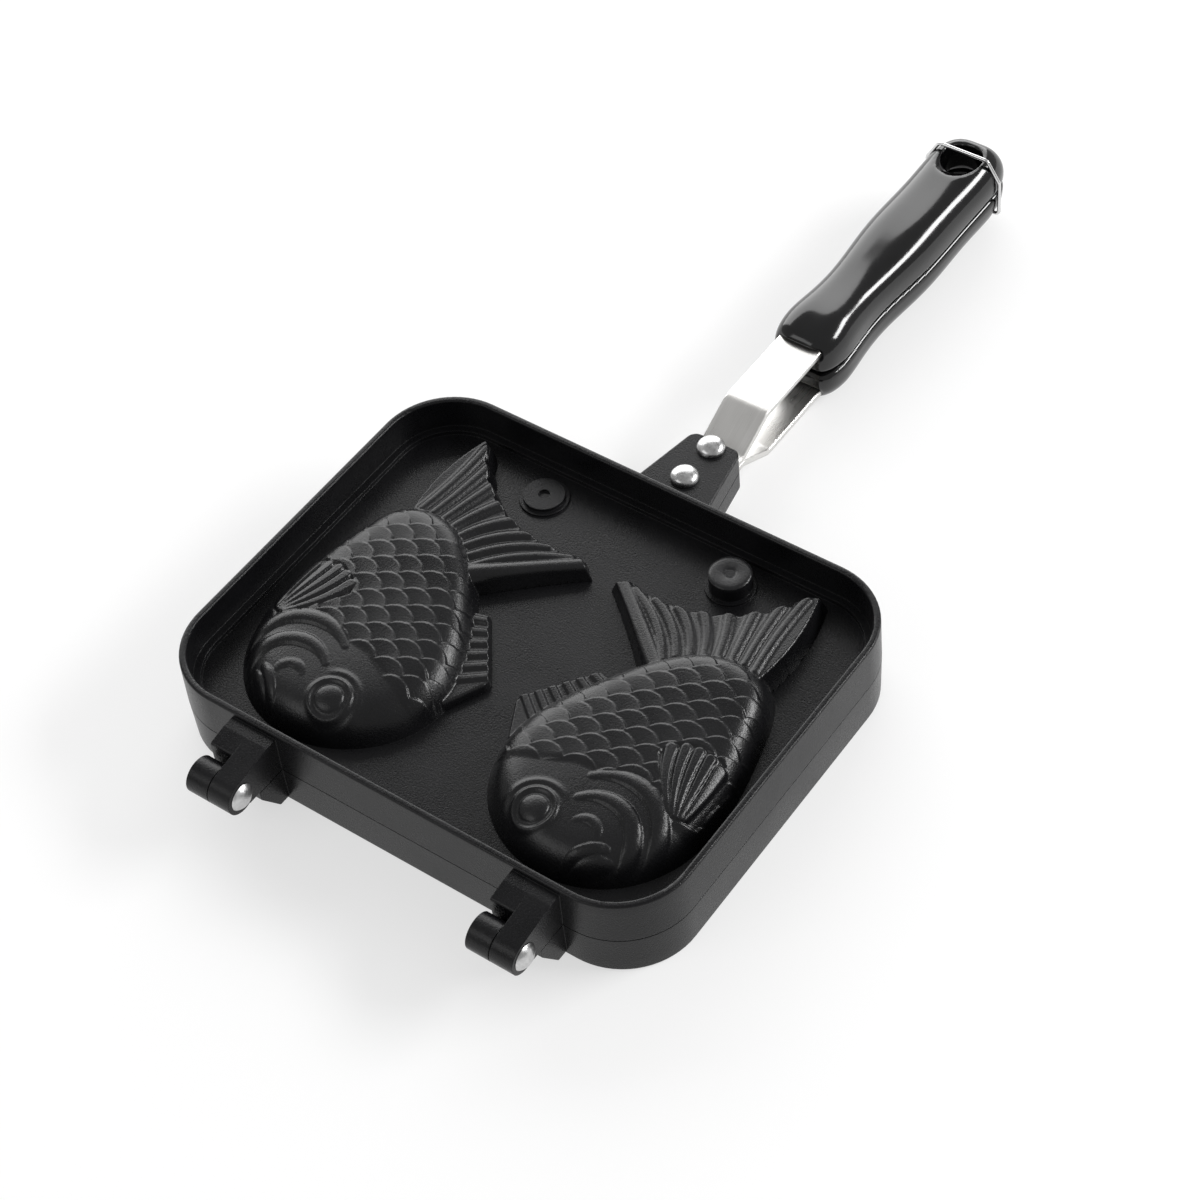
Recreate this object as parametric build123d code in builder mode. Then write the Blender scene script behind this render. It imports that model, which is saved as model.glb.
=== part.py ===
from build123d import *
from math import acos, asin, atan2, cos, hypot, radians, sin
import os

# Two-fish cake pan: two cast halves hinged along one side, each with a steel
# strap and a moulded grip. X runs along the hinge line, +Y points from the
# hinges to the grips and +Z is up. Every piece is drawn from the parting plane
# Z = 0 and the middle of the pan, and set on the resting frame at the end.

# --- pan castings (mm) ---
pan_x = 160.0
pan_y = 126.0
pan_corner = 21.8
upper_height = 14.2          # parting plane to the upper rim
lower_height = 13.4          # parting plane to the lower rim
parting_gap = 0.3            # clear space between the two castings
wall = 2.3
wall_draft = 1.0             # degrees
rim_round = 0.7
plate_top = 2.8              # outer face of the plate above the parting plane
ledge_width = 2.2
ledge_step = 1.4

# --- fish moulds (mm): u runs outwards from the mirror line of the pair, v along Y ---
mould_shift = 1.2            # mirror line of the pair, from the middle of the pan
mould_skin = 2.0             # metal left between the bulge and the cavity
dome_height = 9.2
body_outline = [
    (27.5, 11.5), (18.6, -1.0), (11.0, -18.0), (11.2, -33.5), (22.0, -48.8), (39.0, -55.2),
    (58.0, -50.5), (69.6, -36.0), (72.0, -15.0), (67.8, 7.0), (59.3, 24.0), (43.0, 24.5),
]
spine_low = (38.0, -29.0)
spine_high = (46.0, 5.0)
dome_profile = [(0.0, 0.0), (0.12, 0.56), (0.62, 1.0)]
relief_step = 0.6            # how far gills, fin rays and the eye stand out

tail_edges = [               # start, middle and end of each curve, from the outer edge round to the inner
    ((56.0, 12.0), (59.8, 35.0), (56.4, 55.4)),
    ((53.6, 54.0), (46.6, 44.0), (36.5, 36.4)),
    ((36.5, 36.4), (22.0, 32.3), (6.8, 34.2)),
    ((3.7, 31.0), (15.9, 20.8), (30.0, 7.5)),
]
tail_root = [(31.5, 16.0), (43.0, 22.5), (57.0, 24.0)]
tail_tip_height = 2.6        # above the plate, at the inner tip
tail_edge_height = 6.3       # above the plate, at the outer edge
tail_draft = 12.0            # degrees
tail_rays = 8
ray_fill = 0.55              # share of each pitch that a ray takes

dorsal_outline = [(24.0, 3.5), (18.4, 5.0), (4.6, -13.4), (5.0, -15.6), (10.5, -26.5), (17.0, -24.0)]
dorsal_height = 1.9
dorsal_draft = 12.0          # degrees
dorsal_rays = 6

pectoral_root = [(59.0, -27.0), (66.0, -25.0)]
pectoral_edge = [(50.8, -12.0), (60.0, -8.0), (67.5, -12.0)]
pectoral_rays = 5

gill_arcs = [                # start, middle and end of each ridge
    ((39.5, -28.0), (51.0, -24.4), (62.5, -38.0)),
    ((40.5, -34.8), (51.5, -33.0), (59.5, -44.5)),
]
gill_width = 2.2
mouth = ((45.5, -55.0), (47.5, -49.0), (53.5, -45.5))

eye_centre = (33.0, -44.0)
eye_radius = 6.4
eye_ring = 1.3
pupil_radius = 2.6

# --- bosses on the plate (mm) ---
boss_radius = 6.0
boss_x = 31.2
boss_y = 49.0
low_boss_height = 1.8
tall_boss_height = 5.6
boss_ring = 1.2
boss_ring_height = 0.7
dimple_radius = 1.6
dimple_depth = 0.8

# --- hinges (mm) ---
hinge_y = -78.2
hinge_z = 5.2
hinge_centres = {"left": -42.4, "right": 48.2}
hinge_width = 14.4
knuckle_gap = 0.3
knuckle_radius = 5.2
block_top = 12.4             # upper face of the hinge block above the parting plane
block_depth = 3.4
block_round = 0.9
nose_reach = 9.2             # from the wall to the end of the short noses
nose_drop = 1.1
foot_depth = 11.6
foot_lip = 3.0
arm_root = 8.0               # depth of the lower arm where it leaves the wall
arm_clear = 0.6
pin_radius = 2.2
pin_running_gap = 0.05
pin_side_gap = 0.1
pin_head_radius = 3.9
pin_head_height = 1.9
pin_foot_radius = 3.2
pin_foot_height = 0.8

# --- handle lugs, straps and rivets (mm) ---
lug_root_y = 62.0
lug_root_width = 26.0
lug_tip_width = 16.0
lug_tip_y = 89.6
lug_top = 6.6
lug_corner = 3.2
lug_edge_break = 0.5
strap_width = 14.0
strap_thickness = 1.8
strap_start_y = 66.0
strap_bend_low_y = 92.0
strap_bend_high_y = 104.5
strap_high = 7.6             # mid-plane of the raised run above the parting plane
strap_end_y = 196.0
strap_bend_radius = 4.0
seat_gap = 0.05
rivet_ys = {"rear": 73.1, "front": 86.3}
rivet_shank = 2.4
rivet_head_radius = 3.8
rivet_head_height = 2.5
rivet_foot_radius = 3.4
rivet_foot_depth = 1.0

# --- grips (mm): distance along Y, half width, height ---
grip_gap = 0.5
grip_stations = [
    (132.6, 7.6, 9.2), (136.5, 10.2, 12.1), (155.0, 9.9, 12.1), (185.0, 11.6, 12.4),
    (220.0, 11.9, 12.1), (231.5, 10.3, 10.5), (235.6, 6.4, 6.4),
]
grip_half_width = 12.0       # at the widest, where the bail passes
grip_height = 12.9
grip_corner_share = 0.72     # corner radius of a section, as a share of its smaller half
tang_clearance = 0.05
hang_hole_y = 223.6
hang_hole_radius = 6.2
screw_y = 160.0
screw_radius = 1.6
screw_head_radius = 3.2
screw_head_height = 1.2
screw_bite = 1.6             # how far the screw runs on past the strap

# --- wire bail (mm) ---
wire_radius = 0.8
bail_pivot_y = 225.2
bail_pivot_z = -7.4
bail_lean = 1.0              # the bar stands this far towards the pan from the pivot
bail_side_clear = 0.5
bail_top_clear = 0.25
bail_shoulder_x = 10.0
bail_shoulder_z = 5.0
bail_bend_radius = 1.8
bail_socket_depth = 4.0
bail_socket_gap = 0.06
bail_leg_x = grip_half_width + bail_side_clear + wire_radius
bail_tip_x = grip_half_width - bail_socket_depth
bail_top_z = grip_gap / 2 + grip_height + bail_top_clear + wire_radius

cut_past = 1.0               # how far cutting bodies run past the face they cut
parting_face = parting_gap / 2
wall_y = -pan_y / 2          # hinge side of the pans
knuckle_width = (hinge_width - knuckle_gap) / 2
upright = (Align.CENTER, Align.CENTER, Align.MIN)


def moved_in(points, distance):
    """A closed outline offset inwards, point by point."""
    after = points[1:] + points[:1]
    area = sum(a[0] * b[1] - b[0] * a[1] for a, b in zip(points, after))
    turn = 1 if area > 0 else -1
    moved = []
    for (bx, by), (px, py), (nx, ny) in zip(points[-1:] + points[:-1], points, after):
        length = hypot(nx - bx, ny - by)
        moved.append((px - turn * (ny - by) / length * distance, py + turn * (nx - bx) / length * distance))
    return moved


def toward_spine(point, share):
    """A point of the body's outline, moved by a share of its way to the fish's spine."""
    (ax, ay), (bx, by) = spine_low, spine_high
    along = ((point[0] - ax) * (bx - ax) + (point[1] - ay) * (by - ay)) / ((bx - ax) ** 2 + (by - ay) ** 2)
    along = min(max(along, 0), 1)
    foot = (ax + along * (bx - ax), ay + along * (by - ay))
    return tuple(p + (f - p) * share for p, f in zip(point, foot))


def fish_dome(inset, floor, base, raised=0.0):
    """The body, lofted through outlines that draw in towards the spine, and carried down to the base level."""
    outline = moved_in(body_outline, inset)
    with BuildPart() as dome:
        for share, rise in dome_profile:
            with BuildSketch(Plane.XY.offset(floor + rise * dome_height + raised)):
                with BuildLine():
                    Spline([toward_spine(p, share) for p in outline], periodic=True)
                make_face()
        loft()
        extrude(dome.faces().sort_by(Axis.Z)[0], amount=floor + raised - base)
    return dome.part


def tail_surface(floor, raised=0.0):
    """The sloping plane that the tail's upper side lies in."""
    tip_u, edge_u = tail_edges[-1][0][0], tail_edges[0][-1][0]
    slope = (tail_edge_height - tail_tip_height) / (edge_u - tip_u)
    return Plane(origin=(tip_u, 0, floor + tail_tip_height + raised), x_dir=(1, 0, slope), z_dir=(-slope, 0, 1))


def fish_tail(inset, floor, base):
    """The tail with its drafted edge, cut to the sloping plane."""
    with BuildPart() as tail:
        with BuildSketch(Plane.XY.offset(floor)) as outline:
            with BuildLine():
                for start, middle, end in tail_edges:
                    ThreePointArc(start, middle, end)
                for (_, _, end), (start, _, _) in zip(tail_edges, tail_edges[1:] + tail_edges[:1]):
                    if end != start:
                        Line(end, start)
            make_face()
            if inset:
                offset(amount=-inset, kind=Kind.INTERSECTION)
        extrude(amount=tail_edge_height + cut_past, taper=tail_draft)
        extrude(outline.sketch, amount=base - floor)
        split(bisect_by=tail_surface(floor), keep=Keep.BOTTOM)
    return tail.part


def fan(root, edge, count):
    """Corners of the rays that spread from a root curve to an edge curve."""
    root_curve, edge_curve = Spline(root), Spline(edge)
    rays = []
    for i in range(count):
        low, high = (i + 0.5 - ray_fill / 2) / count, (i + 0.5 + ray_fill / 2) / count
        corners = root_curve @ low, edge_curve @ low, edge_curve @ high, root_curve @ high
        rays.append([(corner.X, corner.Y) for corner in corners])
    return rays


def dorsal_fin(inset, floor, base):
    """The fin on the back, low beside the body."""
    with BuildPart() as fin:
        with BuildSketch(Plane.XY.offset(floor)) as outline:
            with BuildLine():
                Polyline(moved_in(dorsal_outline, inset), close=True)
            make_face()
        extrude(amount=dorsal_height, taper=dorsal_draft)
        extrude(outline.sketch, amount=base - floor)
    return fin.part


def fish(inset, floor, base):
    """One plain fish, standing on the level named floor and reaching down to the base."""
    with BuildPart() as form:
        add([fish_dome(inset, floor, base), fish_tail(inset, floor, base), dorsal_fin(inset, floor, base)])
    return form.part


def fin_rays():
    """Raised rays of the tail and of the dorsal fin."""
    trailing = [tail_edges[2][2], tail_edges[2][1], tail_edges[1][2], tail_edges[1][1], tail_edges[1][0]]
    tail_fan = fan(tail_root, [(u, v - relief_step) for u, v in trailing], tail_rays)
    edge = moved_in(dorsal_outline, relief_step)
    dorsal_fan = fan([dorsal_outline[0], dorsal_outline[-1]], [edge[1], edge[2]], dorsal_rays)
    with BuildPart() as tail:
        with BuildSketch(Plane.XY.offset(parting_face)):
            for ray in tail_fan:
                Polygon(*ray, align=None)
        extrude(amount=dome_height)
        split(bisect_by=tail_surface(plate_top, relief_step), keep=Keep.BOTTOM)
    with BuildPart() as dorsal:
        with BuildSketch(Plane.XY.offset(parting_face)):
            for ray in dorsal_fan:
                Polygon(*ray, align=None)
        extrude(amount=plate_top - parting_face + dorsal_height + relief_step)
    return [tail.part, dorsal.part]


def body_relief():
    """Gill covers, mouth, side fin and eye, standing out of the body by one step."""
    pectoral_fan = fan(pectoral_root, pectoral_edge, pectoral_rays)
    with BuildPart() as relief:
        with BuildSketch(Plane.XY.offset(plate_top)):
            for start, middle, end in gill_arcs + [mouth]:
                with BuildLine():
                    arc = ThreePointArc(start, middle, end)
                trace(arc, line_width=gill_width)
            for ray in pectoral_fan:
                Polygon(*ray, align=None)
            with Locations(eye_centre):
                Circle(eye_radius)
                Circle(eye_radius - eye_ring, mode=Mode.SUBTRACT)
                Circle(pupil_radius)
        extrude(amount=dome_height + cut_past)
        add(fish_dome(0, plate_top, parting_face, relief_step), mode=Mode.INTERSECT)
    return relief.part


def boss(x, height):
    """A round boss with a low ring round its foot."""
    with BuildPart() as stud:
        with Locations((x, boss_y, plate_top)):
            Cylinder(boss_radius, height, align=upright)
            Cylinder(boss_radius + boss_ring, boss_ring_height, align=upright)
    return stud.part


def handle_lug():
    """The tapered lug that carries the strap, with the recess the strap lies in."""
    with BuildPart() as lug:
        with BuildSketch(Plane.XY.offset(parting_face)):
            with BuildLine():
                Polyline(
                    (-lug_root_width / 2, lug_root_y), (lug_root_width / 2, lug_root_y),
                    (lug_tip_width / 2, lug_tip_y), (-lug_tip_width / 2, lug_tip_y), close=True,
                )
            lug_face = make_face()
            fillet(lug_face.vertices().group_by(Axis.Y)[-1], lug_corner)
        extrude(amount=lug_top - parting_face)
        chamfer(lug.faces().sort_by(Axis.Z)[-1].edges(), lug_edge_break)
        with Locations((0, strap_start_y - seat_gap, 0)):
            Box(
                strap_width + 2 * seat_gap, lug_tip_y, parting_face + strap_thickness + seat_gap,
                align=(Align.CENTER, Align.MIN, Align.MIN), mode=Mode.SUBTRACT,
            )
        with Locations([(0, y, 0) for y in rivet_ys.values()]):
            Cylinder(rivet_shank, lug_top + cut_past, align=upright, mode=Mode.SUBTRACT)
    return lug.part


def moulded_plate():
    """The plate between the walls, with the pair of fish, their cavities and the bosses."""
    with BuildPart() as plate:
        with BuildSketch(Plane.XY.offset(parting_face)):
            RectangleRounded(pan_x - wall, pan_y - wall, pan_corner - wall / 2)
            with Locations((mould_shift, 0)):
                Rectangle(pan_x, pan_y, align=(Align.MAX, Align.CENTER), mode=Mode.SUBTRACT)
        extrude(amount=plate_top - parting_face)
        with Locations((mould_shift, 0, 0)):
            add([fish(0, plate_top, parting_face), *fin_rays(), body_relief()], clean=False)
            add(fish(mould_skin, plate_top - mould_skin, -cut_past), mode=Mode.SUBTRACT, clean=False)
        mirror(about=Plane.YZ.offset(mould_shift))
        add([boss(-boss_x, low_boss_height), boss(boss_x, tall_boss_height)], clean=False)
        with Locations((-boss_x, boss_y, plate_top + low_boss_height)):
            Cylinder(dimple_radius, dimple_depth, align=(Align.CENTER, Align.CENTER, Align.MAX), mode=Mode.SUBTRACT)
    return plate.part


def tray_wall(height):
    """The drafted wall round the plate, the ledge at its foot and the handle lug."""
    with BuildPart() as tray:
        with BuildSketch(Plane.XY.offset(parting_face)):
            RectangleRounded(pan_x, pan_y, pan_corner)
        extrude(amount=height - parting_face, taper=wall_draft)
        for floor, inset in ((parting_face, wall + ledge_width), (plate_top + ledge_step, wall)):
            with BuildSketch(Plane.XY.offset(floor)):
                RectangleRounded(pan_x - 2 * inset, pan_y - 2 * inset, pan_corner - inset)
            extrude(amount=height, mode=Mode.SUBTRACT)
        fillet(tray.edges().group_by(Axis.Z)[-1], rim_round)
        add(handle_lug())
    return tray.part


def knuckle_tangent(point, side):
    """Where a line from the point touches the knuckle, above (1) or below (-1) its axis."""
    along, up = point[0] - hinge_y, point[1] - hinge_z
    angle = atan2(up, along) + side * acos(knuckle_radius / hypot(along, up))
    return (hinge_y + knuckle_radius * cos(angle), hinge_z + knuckle_radius * sin(angle))


def bar_along_x(outline, x, width, rounded):
    """A bar of the given outline in Y and Z, running from x, with the numbered corners rounded."""
    with BuildPart() as bar:
        with BuildSketch(Plane.YZ.offset(x)) as profile:
            with BuildLine():
                Polyline(outline, close=True)
            make_face()
            corners = [profile.vertices().sort_by_distance(outline[number])[0] for number in rounded]
            fillet(corners, block_round)
        extrude(amount=width)
    return bar.part


def knuckle(x):
    """A round hinge eye on the hinge line."""
    with BuildPart() as eye:
        with BuildSketch(Plane.YZ.offset(x)):
            with Locations((hinge_y, hinge_z)):
                Circle(knuckle_radius)
        extrude(amount=knuckle_width)
    return eye.part


def dome_line(radius, height, level):
    """Start, middle and end of the arc of a domed head that sits at the given level."""
    sphere = (radius ** 2 + height ** 2) / (2 * height)
    half = asin(radius / sphere) / 2
    middle = (sphere * sin(half), level + height - sphere * (1 - cos(half)))
    return (radius, level), middle, (0, level + height)


def grip_half():
    """Half a grip, lofted through sections with round upper corners that stand on its flat face."""
    with BuildPart() as half:
        for y, half_width, height in grip_stations:
            with BuildSketch(Plane(origin=(0, y, grip_gap / 2), x_dir=(-1, 0, 0), z_dir=(0, 1, 0))) as section:
                Rectangle(2 * half_width, height, align=(Align.CENTER, Align.MIN))
                fillet(section.vertices().group_by(Axis.Y)[-1], grip_corner_share * min(half_width, height))
        loft()
        with Locations((0, hang_hole_y, 0)):
            Cylinder(hang_hole_radius, 2 * grip_height, align=upright, mode=Mode.SUBTRACT)
        tang_top = strap_high + strap_thickness / 2 + tang_clearance
        with Locations((0, grip_stations[0][0] - cut_past, tang_top)):
            Box(
                strap_width + 2 * tang_clearance, strap_end_y - grip_stations[0][0] + cut_past + tang_clearance,
                strap_thickness + 2 * tang_clearance, align=(Align.CENTER, Align.MIN, Align.MAX), mode=Mode.SUBTRACT,
            )
        with Locations((0, screw_y, 0)):
            Cylinder(screw_radius + tang_clearance, screw_end, align=upright, mode=Mode.SUBTRACT)
            Cylinder(
                screw_head_radius + tang_clearance, grip_gap / 2 + screw_head_height + tang_clearance,
                align=upright, mode=Mode.SUBTRACT,
            )
    return half.part


def solid_of_turning(outline, arc, place):
    """A turned piece from its half outline, closed by a domed head, stood on the given plane."""
    with BuildPart() as turned:
        with BuildSketch(Plane.XZ):
            with BuildLine():
                Polyline(outline)
                ThreePointArc(*arc)
                Line(arc[2], outline[0])
            make_face()
        revolve(axis=Axis.Z)
    return place.location * turned.part


# --- the two castings ---
block_front = (wall_y - block_depth, block_top)
nose_end = wall_y - nose_reach
block_root = wall_y + wall / 2
half_block = hinge_width / 2

plate = moulded_plate()
with BuildPart() as upper_pan:
    add([plate, tray_wall(upper_height)])
    for centre in hinge_centres.values():
        add(bar_along_x([
            (block_root, parting_face), (nose_end, parting_face), (nose_end, block_top - nose_drop),
            block_front, (block_root, block_top),
        ], centre - half_block, half_block + knuckle_gap / 2, rounded=(2, 3)))
        add(bar_along_x([
            (block_root, parting_face), (hinge_y + pin_radius, parting_face), (hinge_y, hinge_z),
            knuckle_tangent(block_front, 1), block_front, (block_root, block_top),
        ], centre + knuckle_gap / 2, knuckle_width, rounded=(4,)))
        add(knuckle(centre + knuckle_gap / 2))
        with BuildSketch(Plane.YZ.offset(centre)):
            with Locations((hinge_y, hinge_z)):
                Circle(pin_radius + pin_running_gap)
        extrude(amount=half_block + cut_past, mode=Mode.SUBTRACT)

with BuildPart() as lower_pan:
    add([mirror(plate, about=Plane.XY), mirror(tray_wall(lower_height), about=Plane.XY)])
    for centre in hinge_centres.values():
        add(bar_along_x([
            (block_root, -parting_face), (nose_end - arm_clear / 2, -parting_face),
            (hinge_y + knuckle_radius - arm_clear, hinge_z / 2), (hinge_y, hinge_z),
            knuckle_tangent((block_front[0], -arm_root), -1), (block_front[0], -arm_root), (block_root, -arm_root),
        ], centre - half_block, knuckle_width, rounded=(5,)))
        add(knuckle(centre - half_block))
        add(bar_along_x([
            (block_root, -parting_face), (nose_end, -parting_face), (nose_end, -foot_lip),
            (block_front[0], -foot_depth), (block_root, -foot_depth),
        ], centre - knuckle_gap / 2, half_block + knuckle_gap / 2, rounded=(2, 3)))
        with BuildSketch(Plane.YZ.offset(centre)):
            with Locations((hinge_y, hinge_z)):
                Circle(pin_radius)
        extrude(amount=-half_block - cut_past, mode=Mode.SUBTRACT)

# --- hinge pins: headed on the +X side, spread over on the other ---
pin_length = hinge_width + pin_side_gap
pin_outline = [
    (0, -pin_foot_height), (pin_foot_radius, -pin_foot_height), (pin_foot_radius, 0), (pin_radius, 0),
    (pin_radius, pin_length), (pin_head_radius, pin_length),
]
pins = {}
for side, centre in hinge_centres.items():
    pin_seat = Plane(origin=(centre - half_block, hinge_y, hinge_z), x_dir=(0, 1, 0), z_dir=(1, 0, 0))
    pins[side] = solid_of_turning(pin_outline, dome_line(pin_head_radius, pin_head_height, pin_length), pin_seat)

# --- straps ---
strap_low = parting_face + strap_thickness / 2
with BuildPart() as upper_strap:
    with BuildSketch(Plane.YZ):
        with BuildLine():
            FilletPolyline(
                (strap_start_y, strap_low), (strap_bend_low_y, strap_low), (strap_bend_high_y, strap_high),
                (strap_end_y, strap_high), radius=strap_bend_radius,
            )
        trace(line_width=strap_thickness)
    extrude(amount=strap_width / 2, both=True)
    with Locations([(0, y, 0) for y in rivet_ys.values()]):
        Cylinder(rivet_shank, lug_top, align=upright, mode=Mode.SUBTRACT)
        with Locations((0, 0, parting_face)):
            Cone(rivet_foot_radius, rivet_shank, rivet_foot_depth, align=upright, mode=Mode.SUBTRACT)
    with Locations((0, screw_y, 0)):
        Cylinder(screw_radius, 2 * strap_high, align=upright, mode=Mode.SUBTRACT)

with BuildPart() as lower_strap:
    add(mirror(upper_strap.part, about=Plane.XY))

# --- rivets: flush in the strap, domed on the lug ---
rivet_outline = [
    (0, parting_face), (rivet_foot_radius, parting_face), (rivet_shank, parting_face + rivet_foot_depth),
    (rivet_shank, lug_top), (rivet_head_radius, lug_top),
]
rivets = {}
for place, y in rivet_ys.items():
    rivet = solid_of_turning(rivet_outline, dome_line(rivet_head_radius, rivet_head_height, lug_top), Plane((0, y, 0)))
    rivets["upper_rivet_" + place] = rivet
    rivets["lower_rivet_" + place] = mirror(rivet, about=Plane.XY)

# --- grips and the screws that hold them on the straps ---
screw_end = strap_high + strap_thickness / 2 + screw_bite
with BuildPart() as upper_grip:
    add(grip_half())

with BuildPart() as lower_grip:
    add(mirror(upper_grip.part, about=Plane.XY))
    with BuildSketch(Plane.YZ.offset(bail_tip_x - bail_socket_gap)):
        with Locations((bail_pivot_y, bail_pivot_z)):
            Circle(wire_radius + bail_socket_gap)
    bail_socket = extrude(amount=bail_leg_x, mode=Mode.SUBTRACT)
    mirror(bail_socket, about=Plane.YZ, mode=Mode.SUBTRACT)

with BuildPart(Plane((0, screw_y, grip_gap / 2))) as upper_screw:
    Cylinder(screw_head_radius, screw_head_height, align=upright)
    Cylinder(screw_radius, screw_end - tang_clearance - grip_gap / 2, align=upright)

with BuildPart() as lower_screw:
    add(mirror(upper_screw.part, about=Plane.XY))

# --- wire bail: two turned-in ends, legs, shoulders and a bar over the upper grip ---
bail_height = bail_top_z - bail_pivot_z
bail_plane = Plane(
    origin=(0, bail_pivot_y, bail_pivot_z), x_dir=(1, 0, 0), z_dir=(0, -bail_height, -bail_lean),
)
with BuildPart() as wire_bail:
    with BuildLine(bail_plane) as route:
        FilletPolyline(
            (-bail_tip_x, 0), (-bail_leg_x, 0), (-bail_leg_x, bail_shoulder_z - bail_pivot_z),
            (-bail_shoulder_x, bail_height), (bail_shoulder_x, bail_height),
            (bail_leg_x, bail_shoulder_z - bail_pivot_z), (bail_leg_x, 0), (bail_tip_x, 0), radius=bail_bend_radius,
        )
    with BuildSketch(Plane(origin=route.line @ 0, z_dir=route.line % 0)):
        Circle(wire_radius)
    sweep()

pieces = {
    "lower_pan": lower_pan.part,
    "upper_pan": upper_pan.part,
    "hinge_pin_left": pins["left"],
    "hinge_pin_right": pins["right"],
    "lower_strap": lower_strap.part,
    "upper_strap": upper_strap.part,
    **rivets,
    "lower_grip": lower_grip.part,
    "upper_grip": upper_grip.part,
    "lower_grip_screw": lower_screw.part,
    "upper_grip_screw": upper_screw.part,
    "wire_bail": wire_bail.part,
}

# Rest the lower rim on Z = 0 and centre the closed pan on the origin.
length_middle = (grip_stations[-1][0] + hinge_y - knuckle_radius) / 2
os.makedirs("parts", exist_ok=True)
for name, piece in pieces.items():
    placed = Pos(0, -length_middle, lower_height) * piece
    placed.label = name
    export_step(placed, f"parts/{name}.step")
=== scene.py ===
import math

import bpy
import numpy as np
from mathutils import Matrix, Vector
from mathutils.bvhtree import BVHTree


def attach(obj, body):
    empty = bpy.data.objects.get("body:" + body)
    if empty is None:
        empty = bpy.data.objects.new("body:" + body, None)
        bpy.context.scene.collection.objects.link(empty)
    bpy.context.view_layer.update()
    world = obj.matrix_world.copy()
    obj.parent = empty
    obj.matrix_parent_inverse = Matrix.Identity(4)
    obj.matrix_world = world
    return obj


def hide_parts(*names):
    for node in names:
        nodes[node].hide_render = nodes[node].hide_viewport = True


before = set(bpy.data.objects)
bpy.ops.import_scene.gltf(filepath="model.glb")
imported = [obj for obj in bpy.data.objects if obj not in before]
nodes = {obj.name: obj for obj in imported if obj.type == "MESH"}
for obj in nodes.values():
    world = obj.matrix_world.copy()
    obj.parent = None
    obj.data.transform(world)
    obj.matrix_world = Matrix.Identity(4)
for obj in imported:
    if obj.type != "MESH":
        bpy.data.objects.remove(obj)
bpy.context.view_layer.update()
bpy.ops.object.select_all(action="DESELECT")
print("frame loaded")

# Lengths are millimetres from the pan's middle on its parting plane: X along the hinges, Y to the grips.
# A fish is drawn in u and v: u runs from the pan's middle line to its side, v from the head to the tail.
panPlace = {"middleY": -76.1, "partingZ": 13.4, "plateTop": 2.8, "partingFace": 0.15, "mirrorX": 1.2}
mm = 0.001  # the frame is in metres
perMetre = 1000
farAway, leastLength, leastArea = 1e9, 1e-6, 1e-9


def toFrame(points):
    return (np.asarray(points, float) + (0, panPlace["middleY"], panPlace["partingZ"])) * mm


# A smooth closed curve through the knots: a cubic spline over the lengths of the chords.
def closedCurve(points, perSpan=12):
    knots = np.array(points, float)
    count = len(knots)
    spans = np.hypot(*(np.roll(knots, -1, 0) - knots).T)
    slopes = (np.roll(knots, -1, 0) - knots) / spans[:, None]
    system = np.zeros((count, count))
    for i in range(count):
        system[i, i - 1] += spans[i - 1]
        system[i, i] += 2 * (spans[i - 1] + spans[i])
        system[i, (i + 1) % count] += spans[i]
    bends = np.linalg.solve(system, 6 * (slopes - np.roll(slopes, 1, 0)))
    curve = []
    for i in range(count):
        j = (i + 1) % count
        for share in np.arange(perSpan) / perSpan:
            left, right = (1 - share) * spans[i], share * spans[i]
            bent = (bends[i] * left ** 3 + bends[j] * right ** 3) / (6 * spans[i])
            start = (knots[i] / spans[i] - bends[i] * spans[i] / 6) * left
            end = (knots[j] / spans[i] - bends[j] * spans[i] / 6) * right
            curve.append(bent + start + end)
    return np.array(curve)


def arcThrough(start, middle, end, count=14):
    (ax, ay), (bx, by), (cx, cy) = start, middle, end
    fourAreas = 2 * (ax * (by - cy) + bx * (cy - ay) + cx * (ay - by))
    aSquare, bSquare, cSquare = ax ** 2 + ay ** 2, bx ** 2 + by ** 2, cx ** 2 + cy ** 2
    centreX = (aSquare * (by - cy) + bSquare * (cy - ay) + cSquare * (ay - by)) / fourAreas
    centreY = (aSquare * (cx - bx) + bSquare * (ax - cx) + cSquare * (bx - ax)) / fourAreas
    radius = math.hypot(ax - centreX, ay - centreY)
    angles = np.unwrap([math.atan2(y - centreY, x - centreX) for x, y in (start, middle, end)])
    turn = np.linspace(angles[0], angles[2], count)
    return np.stack([centreX + radius * np.cos(turn), centreY + radius * np.sin(turn)], -1)


# A straight run that bulges to its left by bow, as a parabola.
def bowed(start, end, bow, count=7):
    start, end = np.array(start, float), np.array(end, float)
    share = np.linspace(0, 1, count)[:, None]
    side = np.array([start[1] - end[1], end[0] - start[0]])
    return start + (end - start) * share + side / np.hypot(*side) * bow * 4 * share * (1 - share)


# How far each point lies from a line, and how far along the line its nearest place is, from 0 to 1.
def lineDistance(u, v, points):
    nearest = np.full(u.shape, farAway)
    along = np.zeros(u.shape)
    for k, ((ax, ay), (bx, by)) in enumerate(zip(points[:-1], points[1:])):
        dx, dy = bx - ax, by - ay
        share = np.clip(((u - ax) * dx + (v - ay) * dy) / max(dx * dx + dy * dy, leastArea), 0, 1)
        distance = np.hypot(u - ax - share * dx, v - ay - share * dy)
        along = np.where(distance < nearest, k + share, along)
        nearest = np.minimum(nearest, distance)
    return nearest, along / (len(points) - 1)


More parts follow.
